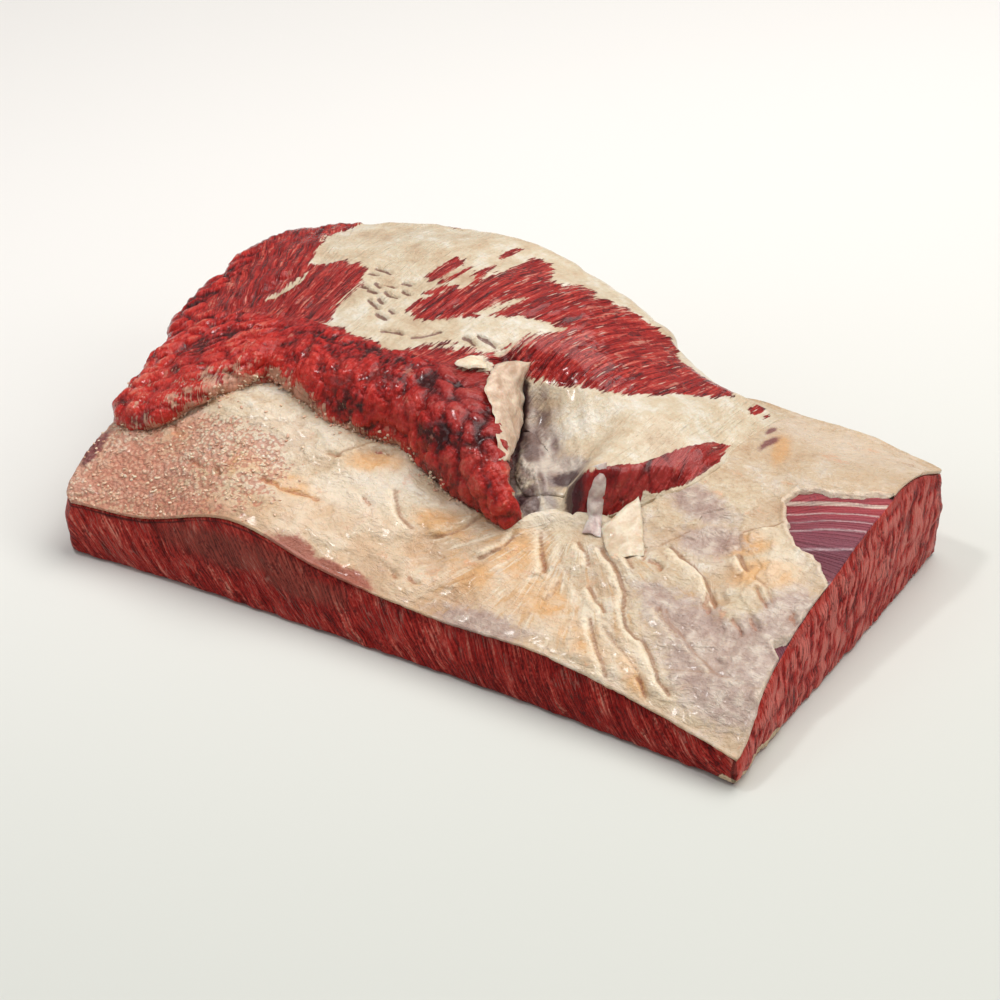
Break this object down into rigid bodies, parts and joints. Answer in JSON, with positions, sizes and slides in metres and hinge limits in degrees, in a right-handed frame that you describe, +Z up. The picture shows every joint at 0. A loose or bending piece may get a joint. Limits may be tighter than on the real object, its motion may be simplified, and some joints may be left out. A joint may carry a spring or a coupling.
{
  "type": "raw beef brisket",
  "caption": "Raw whole beef brisket lying fat side up: a slab of lean with straight knife cuts, its layer of cream fat, and the lumpy second muscle mounded on top.",
  "frame": {"origin": "middle of the plan at the level of the board it lies on", "axes": "+X along the long front cut, towards the thin square-cut end; +Y back across the meat; +Z up"},
  "size_m": [0.4576, 0.2889, 0.1151],
  "materials": {
    "flat_muscle": "raw lean beef, cut face, moist",
    "fat_layer": "cream beef fat, softly waxy",
    "point_muscle": "raw lean beef, wet and lumpy"
  },
  "bodies": {
    "root": {"flat_muscle": "flat_muscle", "fat_layer": "fat_layer", "point_muscle": "point_muscle"}
  },
  "joints": []
}
